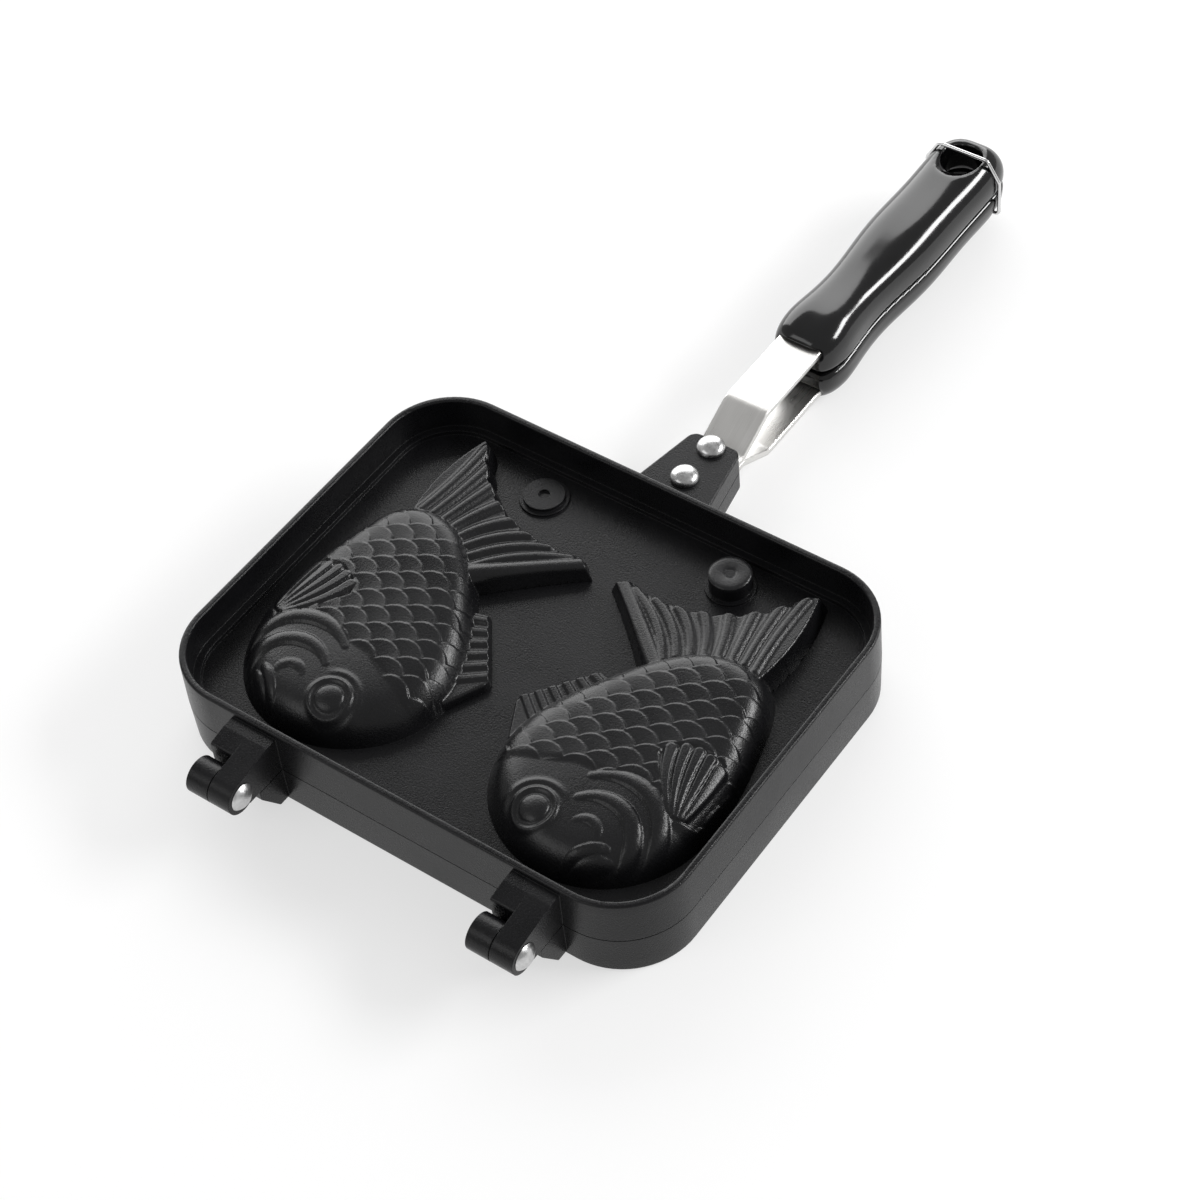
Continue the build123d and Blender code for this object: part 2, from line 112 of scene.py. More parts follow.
# The distance to an outline, positive inside it.
def insideDistance(u, v, outline):
    ring = np.vstack([outline, outline[:1]])
    inside = np.zeros(u.shape, bool)
    for (ax, ay), (bx, by) in zip(ring[:-1], ring[1:]):
        if ay != by:
            inside ^= ((ay > v) != (by > v)) & (u < (bx - ax) * (v - ay) / (by - ay) + ax)
    distance, _ = lineDistance(u, v, ring)
    return np.where(inside, distance, -distance)


# 1 on the spine and 0 on the outline, along the ray from the spine's nearest place through each point.
def spineShare(u, v, outline, spine):
    (ax, ay), (bx, by) = spine
    dx, dy = bx - ax, by - ay
    foot = np.clip(((u - ax) * dx + (v - ay) * dy) / (dx * dx + dy * dy), 0, 1)
    footU, footV = ax + foot * dx, ay + foot * dy
    away = np.maximum(np.hypot(u - footU, v - footV), leastLength)
    du, dv = (u - footU) / away, (v - footV) / away
    reach = np.zeros(u.shape)
    ring = np.vstack([outline, outline[:1]])
    for (px, py), (qx, qy) in zip(ring[:-1], ring[1:]):
        ex, ey = qx - px, qy - py
        cross = du * ey - dv * ex
        cross = np.where(abs(cross) < leastArea, leastArea, cross)
        far = ((px - footU) * ey - (py - footV) * ex) / cross
        part = ((px - footU) * dv - (py - footV) * du) / cross
        met = (far > 0) & (part >= -leastLength) & (part <= 1 + leastLength)
        reach = np.where(met, np.maximum(reach, far), reach)
    return 1 - away / np.maximum(reach, leastLength)


def softMax(a, b, width):
    return 0.5 * (a + b + np.sqrt((a - b) ** 2 + width ** 2))


def fade(value, low, high):
    t = np.clip((value - low) / (high - low), 0, 1)
    return t * t * (3 - 2 * t)


# The place at a share of the length of the one polynomial through all the knots.
def curveAt(points, share):
    knots = np.array(points, float)
    steps = np.r_[0, np.cumsum(np.hypot(*np.diff(knots, axis=0).T))]
    fits = [np.polyfit(steps / steps[-1], knots[:, k], len(knots) - 1) for k in (0, 1)]
    return np.array([np.polyval(fit, share) for fit in fits])


# The fish's body: steep walls that ease into a low crown along its spine.
bodyForm = {
    "outline": [(27.5, 11.5), (18.6, -1), (11, -18), (11.2, -33.5), (22, -48.8), (39, -55.2),
                (58, -50.5), (69.6, -36), (72, -15), (67.8, 7), (59.3, 24), (43, 24.5)],
    "spine": [(38, -29), (46, 5)],
    "crown": 10.45, "wallShare": 0.85, "wallPower": 8,
    "outsideShare": -0.1, "outsideDrop": -4,  # beyond this share the body ends, well under the plate
    "markFade": 0.07, "blend": 0.3,
}


def bodyHeights(u, v):
    share = spineShare(u, v, closedCurve(bodyForm["outline"]), bodyForm["spine"])
    wall = 1 - (1 - share) ** bodyForm["wallPower"]
    crown = 1 - (1 - share) ** 2
    height = bodyForm["crown"] * (bodyForm["wallShare"] * wall + (1 - bodyForm["wallShare"]) * crown)
    return np.where(share < bodyForm["outsideShare"], bodyForm["outsideDrop"], height), share


# Scales: staggered rows of round shingles, set out from one cusp behind the head.
scaleForm = {
    "cusp": (44.8, -23.1), "lean": math.radians(4), "width": 9.7, "pitch": 3.72, "radius": 5.8,
    "rows": (-9, 16), "rise": 0.8, "length": 6.2, "fullness": 0.9, "rounding": 0.35,
    # scales start behind the head line and leave out the side fin
    "headLine": [(8, -38), (18, -35), (27, -31.5), (34, -28.5),
                 (42, -27.5), (52, -24.5), (60, -29), (68, -31)],
    "headFade": (0, 3.0),
    "finArea": [(62, -29), (50.5, -14), (52, -10), (58, -7), (65, -7), (70, -11), (69.5, -26)],
    "finFade": (-0.2, 0.6),
}


def scaleHeights(u, v):
    centreU, centreV = scaleForm["cusp"]
    cosLean, sinLean = math.cos(scaleForm["lean"]), math.sin(scaleForm["lean"])
    width, radius = scaleForm["width"], scaleForm["radius"]
    across = (u - centreU) * cosLean + (v - centreV) * sinLean
    along = (v - centreV) * cosLean - (u - centreU) * sinLean
    along = along + math.sqrt(radius ** 2 - width ** 2 / 4)
    best = np.zeros(u.shape)
    for row in range(*scaleForm["rows"]):
        offset = 0.5 * width * ((row + 1) % 2)
        side = (across - offset + 0.5 * width) % width - 0.5 * width
        gap = row * scaleForm["pitch"] + np.sqrt(np.maximum(radius ** 2 - side ** 2, 0)) - along
        slope = np.clip(1 - gap / scaleForm["length"], 0, 1)
        edge = fade(gap, 0, scaleForm["rounding"])
        best = np.maximum(best, slope ** scaleForm["fullness"] * edge)
    return scaleForm["rise"] * best


# Fins: ribs that fan from a root line to an outer line. Fill is a rib's share of its pitch, soft its flank.
finForms = {
    "tail": {"root": [(30, 13), (36, 18.8), (43, 22.2), (51, 23.8), (56.6, 22)], "count": 8,
             "edge": [(7.6, 31.8), (22, 31.7), (36.5, 35.8), (46.6, 43.4), (55.3, 53.4)],
             "bows": (-2.2, 0.9), "fill": 0.12, "rise": 0.95, "soft": 2.1},
    "back": {"root": [(23.5, 3.0), (20, -10.5), (16.5, -23.5)], "count": 6,
             "edge": [(18.6, 4.2), (11.5, -4.2), (5.0, -14.2)],
             "bows": (0.0, 0.0), "fill": 0.3, "rise": 0.7, "soft": 0.9},
    "side": {"root": [(62.2, -27.6), (64.6, -27.2), (67, -26)], "count": 5,
             "edge": [(50.8, -12.6), (58.5, -8.4), (68, -10.6)],
             "bows": (1.6, -0.6), "fill": 0.6, "rise": 0.85, "soft": 0.7},
}


def finHeights(u, v, fin):
    best = np.zeros(u.shape)
    firstBow, lastBow = fin["bows"]
    for k in range(fin["count"]):
        middle, half = (k + 0.5) / fin["count"], fin["fill"] / 2 / fin["count"]
        wide = []
        for line in (fin["root"], fin["edge"]):
            wide.append(np.hypot(*(curveAt(line, middle + half) - curveAt(line, middle - half))) / 2)
        bow = firstBow + (lastBow - firstBow) * middle
        rib = bowed(curveAt(fin["root"], middle), curveAt(fin["edge"], middle), bow)
        distance, share = lineDistance(u, v, rib)
        beyond = distance - wide[0] - (wide[1] - wide[0]) * share
        best = np.maximum(best, 1 - fade(beyond, 0, fin["soft"]))
    return best * fin["rise"]


# Tail: a scalloped web that climbs from its inner tip to its outer one, with a round bar on the inner side.
tailForm = {
    "outerSide": [(56, 12), (59.8, 35), (56.4, 55.4)],
    "innerSide": [(3.7, 31), (15.9, 20.8), (30, 7.5)],
    "edge": [(53.6, 54), (46.6, 44), (36.5, 36.4), (22, 32.3), (6.8, 34.2)],
    "scallop": 0.7, "scallopPoints": 6, "lowAt": 3.7, "low": 3.3, "highAt": 56.4, "high": 6.95,
    "spread": 0.45, "steepness": 3.6, "ribFade": (0.5, 1.3),
    "bar": [(6.4, 32), (17.2, 23.4), (31, 12)], "barRadius": 2.4, "barRise": 1.5,
}


def tailOutline():
    count = finForms["tail"]["count"]
    points = [arcThrough(*tailForm["outerSide"])]
    for k in range(count):
        start, end = curveAt(tailForm["edge"], k / count), curveAt(tailForm["edge"], (k + 1) / count)
        points.append(bowed(start, end, -tailForm["scallop"], tailForm["scallopPoints"])[:-1])
    points.append(arcThrough(*tailForm["innerSide"]))
    return np.vstack(points)


def tailHeights(u, v):
    inside = insideDistance(u, v, tailOutline()) + tailForm["spread"]
    rate = (tailForm["high"] - tailForm["low"]) / (tailForm["highAt"] - tailForm["lowAt"])
    level = tailForm["low"] + (u - tailForm["lowAt"]) * rate
    ribs = finHeights(u, v, finForms["tail"]) * fade(inside, *tailForm["ribFade"])
    bar, _ = lineDistance(u, v, arcThrough(*tailForm["bar"]))
    barRound = np.sqrt(np.clip(1 - (bar / tailForm["barRadius"]) ** 2, 0, 1)) * tailForm["barRise"]
    return np.minimum(level + np.maximum(ribs, barRound), inside * tailForm["steepness"])


backForm = {"outline": [(24, 3.5), (18.4, 5), (4.6, -13.4), (5, -15.6), (10.5, -26.5), (17, -24)],
            "height": 2.55, "spread": 0.3, "steepness": 3.6, "ribFade": (0.4, 1.0)}


def backHeights(u, v):
    inside = insideDistance(u, v, np.array(backForm["outline"], float)) + backForm["spread"]
    ribs = finHeights(u, v, finForms["back"]) * fade(inside, *backForm["ribFade"])
    return np.minimum(backForm["height"] + ribs, inside * backForm["steepness"])


# Head: gill plates, cheek crease and lips as tapered arcs, and a ringed eye with a brow on one side.
headForm = {
    # start, middle, end, half width, rise
    "arcs": [((40.2, -28.9), (53.4, -25.4), (65.6, -42.2), 1.5, 1.15),
             ((41.0, -36.2), (53.2, -33.4), (60.8, -46.8), 1.4, 1.1),
             ((44.5, -42.0), (48.6, -40.4), (51.6, -43.6), 0.5, 0.5),
             ((47.6, -53.0), (50.8, -48.0), (55.4, -44.6), 0.8, 1.05),
             ((49.8, -54.6), (53.4, -50.0), (57.6, -46.8), 0.9, 1.0)],
    "startTaper": (-0.12, 0.4), "endTaper": (-0.12, 0.25), "flank": 0.9, "taperPower": 0.7,
    "eye": (33.2, -44.6), "ringRadius": 5.7, "ringWidth": 0.75, "ringRise": 0.7,
    "pupilRadius": 4.0, "pupilRise": 1.05,
    "browRadius": 8.2, "browWidth": 0.9, "browRise": 0.35, "browSide": (-79, -70),
}


def headHeights(u, v):
    form = headForm
    marks = np.zeros(u.shape)
    for start, middle, end, half, rise in form["arcs"]:
        distance, share = lineDistance(u, v, arcThrough(start, middle, end))
        taper = fade(share, *form["startTaper"]) * fade(1 - share, *form["endTaper"])
        rounded = np.sqrt(np.clip(1 - (distance / (half * taper + form["flank"])) ** 2, 0, 1))
        marks = np.maximum(marks, rise * taper ** form["taperPower"] * rounded)
    away = np.hypot(u - form["eye"][0], v - form["eye"][1])
    ring = form["ringRise"] * np.exp(-((away - form["ringRadius"]) / form["ringWidth"]) ** 2)
    brow = form["browRise"] * np.exp(-((away - form["browRadius"]) / form["browWidth"]) ** 2)
    brow = brow * fade(v - u, *form["browSide"])
    pupil = form["pupilRise"] * np.sqrt(np.clip(1 - (away / form["pupilRadius"]) ** 2, 0, 1))
    return np.maximum.reduce([marks, ring, pupil, brow])


def fishHeights(u, v):
    body, share = bodyHeights(u, v)
    headLine = np.interp(u, *np.array(scaleForm["headLine"]).T)
    finArea = insideDistance(u, v, np.array(scaleForm["finArea"], float))
    scales = scaleHeights(u, v) * fade(v - headLine, *scaleForm["headFade"])
    scales = scales * fade(-finArea, *scaleForm["finFade"])
    marks = np.maximum.reduce([scales, finHeights(u, v, finForms["side"]), headHeights(u, v)])
    marks = marks * fade(share, 0, bodyForm["markFade"])
    height = softMax(body + marks, tailHeights(u, v), bodyForm["blend"])
    return softMax(height, backHeights(u, v), bodyForm["blend"]), marks


# Skins: the moulded relief, laid over the plain castings outside and inside.
skinForm = {
    "step": 0.3, "uRange": (2.4, 75.6), "vRange": (-57.6, 58.2), "lift": 0.03,
    "overhang": -0.45, "nearFish": -2.2, "plateReach": -1,  # the skin ends under the plate, near its own fish
    "rayFrom": 40.0, "rayInside": 0.05, "missed": -9, "risen": 0.04,
    "lowerBend": 9.2, "lowerGain": 0.6,  # over this height the lower fish is flatter, to stay inside its rim
    "cavityEdge": 0.5, "cavityStart": 0.9, "cavityFull": 2.6, "cavityRelief": 0.5, "cavityTuck": 0.1,
}


def castingSurface(nodeName, points, direction):
    mesh = nodes[nodeName].data
    tree = BVHTree.FromPolygons([p.co for p in mesh.vertices], [f.vertices for f in mesh.polygons])
    ray = Vector((0, 0, direction))
    heights = np.full(len(points), np.nan)
    for k, point in enumerate(points.tolist()):
        hit = tree.ray_cast(point, ray)[0]
        if hit is not None:
            heights[k] = hit.z
    return heights * perMetre - panPlace["partingZ"]


def turnFaces(piece, faceUp):
    normals = np.zeros(len(piece.data.polygons) * 3)
    piece.data.polygons.foreach_get("normal", normals)
    if (normals[2::3].sum() > 0) != faceUp:
        piece.data.flip_normals()


def skinGrid(name, u, v, height, keep, faceUp):
    rows, columns = u.shape
    bpy.ops.mesh.primitive_grid_add(x_subdivisions=columns - 1, y_subdivisions=rows - 1, size=1)
    piece = bpy.context.object
    piece.name = name
    piece.data.vertices.foreach_set("co", toFrame(np.stack([u, v, height], -1).reshape(-1, 3)).ravel())
    bpy.ops.object.mode_set(mode="EDIT")
    bpy.ops.mesh.select_mode(type="VERT")
    bpy.ops.mesh.select_all(action="DESELECT")
    bpy.ops.object.mode_set(mode="OBJECT")
    piece.data.vertices.foreach_set("select", ~keep.ravel())
    bpy.ops.object.mode_set(mode="EDIT")
    bpy.ops.mesh.delete(type="VERT")
    bpy.ops.mesh.select_all(action="SELECT")
    bpy.ops.mesh.normals_make_consistent(inside=False)
    bpy.ops.object.mode_set(mode="OBJECT")
    turnFaces(piece, faceUp)
    bpy.ops.object.shade_smooth()
    piece.select_set(False)
    return piece


# Where the casting already stands higher than the drawn fish, the skin lies just over the casting.
def fishSkin(half, sign, sideName, x, v, drawn):
    high = np.maximum(drawn - skinForm["lowerBend"], 0)
    raised = drawn if sign > 0 else drawn - high * (1 - skinForm["lowerGain"])
    above = toFrame(np.stack([x, v, np.full(x.shape, sign * skinForm["rayFrom"])], -1)).reshape(-1, 3)
    solid = sign * castingSurface(half + "_pan", above, -sign).reshape(x.shape) - panPlace["plateTop"]
    covered = np.nan_to_num(solid, nan=skinForm["missed"])
    height = np.where(covered > skinForm["risen"], np.maximum(raised, covered + skinForm["lift"]), raised)
    overPlate = (height > skinForm["overhang"]) & (covered > skinForm["plateReach"])
    keep = overPlate & (drawn > skinForm["nearFish"])
    return skinGrid(half + "Fish" + sideName, x, v, sign * (panPlace["plateTop"] + height), keep, sign > 0)


# Inside, the lining is the casting's own roof with the marks pressed in, tucked away at the mould's edge.
def cavityLining(half, sign, sideName, x, v, marks):
    inner = toFrame(np.stack([x, v, np.full(x.shape, -sign * skinForm["rayInside"])], -1)).reshape(-1, 3)
    roof = sign * castingSurface(half + "_pan", inner, sign).reshape(x.shape) - panPlace["partingFace"]
    depth = np.nan_to_num(roof, nan=0)
    sunk = skinForm["cavityRelief"] * (1 - np.clip(marks / scaleForm["rise"], 0, 1))
    shown = fade(depth, skinForm["cavityStart"], skinForm["cavityFull"])
    tuck = skinForm["cavityTuck"]
    level = panPlace["partingFace"] + depth + tuck - (tuck + skinForm["lift"] + sunk) * shown
    return skinGrid(half + "Cavity" + sideName, x, v, sign * level, depth > skinForm["cavityEdge"], sign < 0)


def fishSkins():
    step = skinForm["step"]
    u, v = np.meshgrid(np.arange(*skinForm["uRange"], step), np.arange(*skinForm["vRange"], step))
    drawn, marks = fishHeights(u, v)
    skins = []
    for half, sign in (("upper", 1), ("lower", -1)):
        for side, sideName in ((1, "Right"), (-1, "Left")):
            x = panPlace["mirrorX"] + side * u
            skins.append((fishSkin(half, sign, sideName, x, v, drawn), half))
            skins.append((cavityLining(half, sign, sideName, x, v, marks), half))
    for skin, half in skins:
        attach(skin, half + "_half")
    print("fish and cavity skins laid")
    return [skin for skin, half in skins]


# Turns a profile of radius and height about an upright axis. Only mergeWithin is metres.
def turned(name, profile, centre, steps, flip=1, mergeWithin=0.000005):
    bpy.ops.mesh.primitive_circle_add(vertices=len(profile), radius=1, fill_type="NOTHING")
    piece = bpy.context.object
    piece.name = name
    x, y, z = centre
    points = [(x + r, y, z + flip * h) for r, h in profile]
    piece.data.vertices.foreach_set("co", toFrame(points).ravel())
    bpy.ops.object.mode_set(mode="EDIT")
    bpy.ops.mesh.select_mode(type="EDGE")
    bpy.ops.mesh.select_all(action="DESELECT")
    bpy.ops.object.mode_set(mode="OBJECT")
    for edge in piece.data.edges:  # the edge that closes the circle isn't part of the profile
        edge.select = abs(edge.vertices[0] - edge.vertices[1]) == len(profile) - 1
    bpy.ops.object.mode_set(mode="EDIT")
    bpy.ops.mesh.delete(type="EDGE")
    bpy.ops.mesh.select_all(action="SELECT")
    axis = tuple(toFrame((x, y, z)))
    bpy.ops.mesh.spin(steps=steps, angle=2 * math.pi, center=axis, axis=(0, 0, 1))
    bpy.ops.mesh.select_all(action="SELECT")
    bpy.ops.mesh.remove_doubles(threshold=mergeWithin)
    bpy.ops.mesh.normals_make_consistent(inside=False)
    bpy.ops.object.mode_set(mode="OBJECT")
    turnFaces(piece, flip > 0)
    bpy.ops.object.shade_smooth()
    piece.select_set(False)
    return piece


# Boss cap: a dimpled top with a rounded rim. The profile is radius and height over the boss.
bossForm = {
    "x": 31.2, "y": 49.0, "top": 8.4, "turns": 72,
    "profile": [(0, -0.5), (0.9, -0.42), (1.5, 0.12), (2.2, 0.3), (4.6, 0.3), (5.3, 0.26), (5.85, 0.02),
                (6.08, -0.5), (6.1, -1.3)],
}


def bossCaps():
    caps = []
    for half, sign in (("upper", 1), ("lower", -1)):
        centre = (bossForm["x"], bossForm["y"], sign * bossForm["top"])
        cap = turned(half + "BossCap", bossForm["profile"], centre, bossForm["turns"], sign)
        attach(cap, half + "_half")
        caps.append(cap)
    print("boss caps turned")
    return caps


# Rivet heads: broad, softly domed, with a short skirt down to the lug.
rivetForm = {"radius": 4.12, "height": 2.65, "level": 6.6, "rim": 0.35, "fullness": 0.9,
             "skirt": [(0, 0.05), (-0.2, -0.02)], "rows": 12, "turns": 64, "ys": (73.1, 86.3)}


def rivetHeads():
    radius, height, rim = rivetForm["radius"], rivetForm["height"], rivetForm["rim"]
    profile = []
    for angle in np.linspace(0, math.pi / 2, rivetForm["rows"]):
        dome = math.cos(angle) ** rivetForm["fullness"]
        profile.append((radius * math.sin(angle), rim + (height - rim) * dome))
    profile += [(radius + out, up) for out, up in rivetForm["skirt"]]
    heads = []
    for half, sign in (("upper", 1), ("lower", -1)):
        for place, y in zip(("Rear", "Front"), rivetForm["ys"]):
            centre = (0, y, sign * rivetForm["level"])
            head = turned(half + "RivetHead" + place, profile, centre, rivetForm["turns"], sign)
            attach(head, half + "_half")
            heads.append(head)
    print("rivet heads turned")
    return heads


# Grips: every edge softened as moulded resin is, with a full nose and a dished hang hole.
gripForm = {
    "mergeWithin": 0.00001, "voxel": 0.00034,  # these two are metres
    "smoothing": 80, "smoothFactor": 0.5,
    "noseY": 132.6, "noseLength": 9.0, "noseSmoothing": 110, "noseStretch": 1.6,
    "dish": {"y": 222.6, "radii": (7.6, 9.4, 3.4), "top": 13.0, "segments": 48, "rings": 24},
    "seamReach": 2.4, "seamSmoothing": 90, "fullShare": 0.25, "leastWeight": 0.01,
}


def smoothOver(piece, iterations, group=None):
    smooth = piece.modifiers.new("soft", "SMOOTH")
    smooth.factor = gripForm["smoothFactor"]
    smooth.iterations = iterations
    if group:
        smooth.vertex_group = group
    bpy.ops.object.modifier_apply(modifier=smooth.name)


def gripCopy(nodeName, name):
    piece = nodes[nodeName].copy()
    piece.data = nodes[nodeName].data.copy()
    bpy.context.scene.collection.objects.link(piece)
    piece.name = name
    for key in [key for key in piece.keys() if key.startswith("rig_")]:
        del piece[key]
    piece.parent = None
    piece.select_set(True)
    bpy.context.view_layer.objects.active = piece
    bpy.ops.mesh.customdata_custom_splitnormals_clear()
    bpy.ops.object.mode_set(mode="EDIT")
    bpy.ops.mesh.select_all(action="SELECT")
    bpy.ops.mesh.remove_doubles(threshold=gripForm["mergeWithin"])
    bpy.ops.object.mode_set(mode="OBJECT")
    return piece


def cutDish(piece, sign):
    dish = gripForm["dish"]
    bpy.ops.mesh.primitive_uv_sphere_add(segments=dish["segments"], ring_count=dish["rings"], radius=1)
    cutter = bpy.context.object
    cutter.scale = [radius * mm for radius in dish["radii"]]
    cutter.location = toFrame((0, dish["y"], sign * dish["top"]))
    bpy.context.view_layer.objects.active = piece
    cut = piece.modifiers.new("dish", "BOOLEAN")
    cut.operation = "DIFFERENCE"
    cut.object = cutter
    bpy.ops.object.modifier_apply(modifier=cut.name)
    bpy.data.objects.remove(cutter)


# The nose is drawn out a little, and nose and seam are smoothed further than the rest.
def softenNoseAndSeam(piece):
    co = np.zeros(len(piece.data.vertices) * 3)
    piece.data.vertices.foreach_get("co", co)
    fullShare = gripForm["fullShare"]
    noseEnd = toFrame((0, gripForm["noseY"], 0))[1]
    fromNose = (co[1::3] - noseEnd) * perMetre
    noseWeight = 1 - fade(fromNose, fullShare * gripForm["noseLength"], gripForm["noseLength"])
    co[1::3] -= noseWeight * gripForm["noseStretch"] * mm
    piece.data.vertices.foreach_set("co", co)
    fromSeam = abs(co[2::3] * perMetre - panPlace["partingZ"])
    seamWeight = 1 - fade(fromSeam, fullShare * gripForm["seamReach"], gripForm["seamReach"])
    for part, weights in (("nose", noseWeight), ("seam", seamWeight)):
        group = piece.vertex_groups.new(name=part)
        for index in np.flatnonzero(weights > gripForm["leastWeight"]).tolist():
            group.add([index], float(weights[index]), "REPLACE")
        smoothOver(piece, gripForm[part + "Smoothing"], part)
    piece.vertex_groups.clear()


def mouldedGrip(nodeName, name, body, sign):
    bpy.ops.object.select_all(action="DESELECT")
    piece = gripCopy(nodeName, name)
    cutDish(piece, sign)
    remesh = piece.modifiers.new("even", "REMESH")
    remesh.mode = "VOXEL"
    remesh.voxel_size = gripForm["voxel"]
    bpy.ops.object.modifier_apply(modifier=remesh.name)
    smoothOver(piece, gripForm["smoothing"])
    softenNoseAndSeam(piece)
    bpy.ops.object.shade_smooth()
    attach(piece, body)
    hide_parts(nodeName)
    piece.select_set(False)
    return piece


def grips():
    made = [mouldedGrip("lower_grip", "lowerGripMoulded", "lower_half", -1)]
    made.append(mouldedGrip("upper_grip", "upperGripMoulded", "upper_half", 1))
    print("grips moulded")
    return made


# Wire bail: thin bright wire from one pivot over the shoulders to the other. The pivot is its Y and Z.
bailForm = {
    "radius": 0.58, "pivot": (225.2, -7.4), "lean": 1.0, "tipX": 8.0, "legX": 12.6, "shoulderX": 8.3,
    "shoulderRise": 12.8, "topRise": 20.2, "bend": 1.8, "perBend": 8, "roundness": 6,
}


def roundedRoute(corners, bend, perBend):
    corners = [np.array(corner, float) for corner in corners]
    route = [corners[0]]
    for before, corner, after in zip(corners, corners[1:], corners[2:]):
        back, ahead = before - corner, after - corner
        back, ahead = back / np.linalg.norm(back), ahead / np.linalg.norm(ahead)
        reach = bend / math.tan(math.acos(np.clip(back @ ahead, -1, 1)) / 2)
        for share in np.linspace(0, 1, perBend):
            route.append(corner + back * reach * (1 - share) ** 2 + ahead * reach * share ** 2)
    return route + [corners[-1]]


def bentBail():
    form = bailForm
    rightSide = [(form["shoulderX"], form["topRise"]), (form["legX"], form["shoulderRise"]),
                 (form["legX"], 0), (form["tipX"], 0)]
    flat = [(-x, up) for x, up in reversed(rightSide)] + rightSide
    tilt = math.atan2(form["lean"], form["topRise"])
    pivotY, pivotZ = form["pivot"]
    bent = [(x, pivotY - up * math.sin(tilt), pivotZ + up * math.cos(tilt))
            for x, up in roundedRoute(flat, form["bend"], form["perBend"])]
    curve = bpy.data.curves.new("bailWire", "CURVE")
    curve.dimensions = "3D"
    line = curve.splines.new("POLY")
    line.points.add(len(bent) - 1)
    for point, place in zip(line.points, toFrame(bent)):
        point.co = (*place, 1)
    curve.bevel_depth = form["radius"] * mm
    curve.bevel_resolution = form["roundness"]
    curve.use_fill_caps = True
    piece = bpy.data.objects.new("bailWire", curve)
    bpy.context.scene.collection.objects.link(piece)
    bpy.context.view_layer.objects.active = piece
    piece.select_set(True)
    bpy.ops.object.convert(target="MESH")
    bpy.ops.object.shade_smooth()
    piece.select_set(False)
    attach(piece, "bail")
    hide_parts("wire_bail")
    print("bail bent")
    return piece


def newGroup(name, inputs, outputs):
    group = bpy.data.node_groups.new(name, "ShaderNodeTree")
    for label, kind, value in inputs:
        socket = group.interface.new_socket(name=label, in_out="INPUT", socket_type=kind)
        socket.default_value = value
    for label, kind in outputs:
        group.interface.new_socket(name=label, in_out="OUTPUT", socket_type=kind)
    return group, group.nodes.new("NodeGroupInput"), group.nodes.new("NodeGroupOutput")


def add(tree, kind, values=None, **settings):
    node = tree.nodes.new("ShaderNode" + kind)
    for key, value in settings.items():
        setattr(node, key, value)
    for socket, value in (values or {}).items():
        node.inputs[socket].default_value = value
    return node


# The grain that every material shares: fine noise, stretched where the metal is drawn, over broad patches.
grainForm = {"fineDetail": 2.5, "fineRoughness": 0.62, "broadScale": 55, "broadDetail": 4,
             "lowest": 0.3, "highest": 0.7, "fineShare": 0.5}


def grainGroup():
    form = grainForm
    group, given, out = newGroup("surfaceGrain", [
        ("Size", "NodeSocketFloat", 400.0), ("Stretch", "NodeSocketVector", (1, 1, 1)),
        ("Dark", "NodeSocketColor", (0, 0, 0, 1)), ("Light", "NodeSocketColor", (1, 1, 1, 1)),
        ("Smoothest", "NodeSocketFloat", 0.3), ("Roughest", "NodeSocketFloat", 0.5),
    ], [("Color", "NodeSocketColor"), ("Roughness", "NodeSocketFloat"), ("Height", "NodeSocketFloat")])
    place = add(group, "TexCoord")
    stretched = add(group, "VectorMath", operation="MULTIPLY")
    fine = add(group, "TexNoise", {"Detail": form["fineDetail"], "Roughness": form["fineRoughness"]})
    broad = add(group, "TexNoise", {"Scale": form["broadScale"], "Detail": form["broadDetail"]})
    fineRange = add(group, "MapRange", {"From Min": form["lowest"], "From Max": form["highest"]})
    broadRange = add(group, "MapRange", {"From Min": form["lowest"], "From Max": form["highest"]})
    broadPart = add(group, "Math", {1: 1 - form["fineShare"]}, operation="MULTIPLY")
    both = add(group, "Math", {1: form["fineShare"]}, operation="MULTIPLY_ADD")
    colour = add(group, "Mix", data_type="RGBA")
    rough = add(group, "Mix", data_type="FLOAT")
    for start, end in (
        (place.outputs["Object"], stretched.inputs[0]),
        (given.outputs["Stretch"], stretched.inputs[1]),
        (stretched.outputs["Vector"], fine.inputs["Vector"]),
        (given.outputs["Size"], fine.inputs["Scale"]),
        (place.outputs["Object"], broad.inputs["Vector"]),
        (fine.outputs["Fac"], fineRange.inputs["Value"]),
        (broad.outputs["Fac"], broadRange.inputs["Value"]),
        (broadRange.outputs["Result"], broadPart.inputs[0]),
        (fineRange.outputs["Result"], both.inputs[0]),
        (broadPart.outputs["Value"], both.inputs[2]),
        (both.outputs["Value"], colour.inputs["Factor"]),
        (given.outputs["Dark"], colour.inputs["A"]),
        (given.outputs["Light"], colour.inputs["B"]),
        (both.outputs["Value"], rough.inputs["Factor"]),
        (given.outputs["Smoothest"], rough.inputs["A"]),
        (given.outputs["Roughest"], rough.inputs["B"]),
        (colour.outputs["Result"], out.inputs["Color"]),
        (rough.outputs["Result"], out.inputs["Roughness"]),
        (fine.outputs["Fac"], out.inputs["Height"]),
    ):
        group.links.new(start, end)
    return group


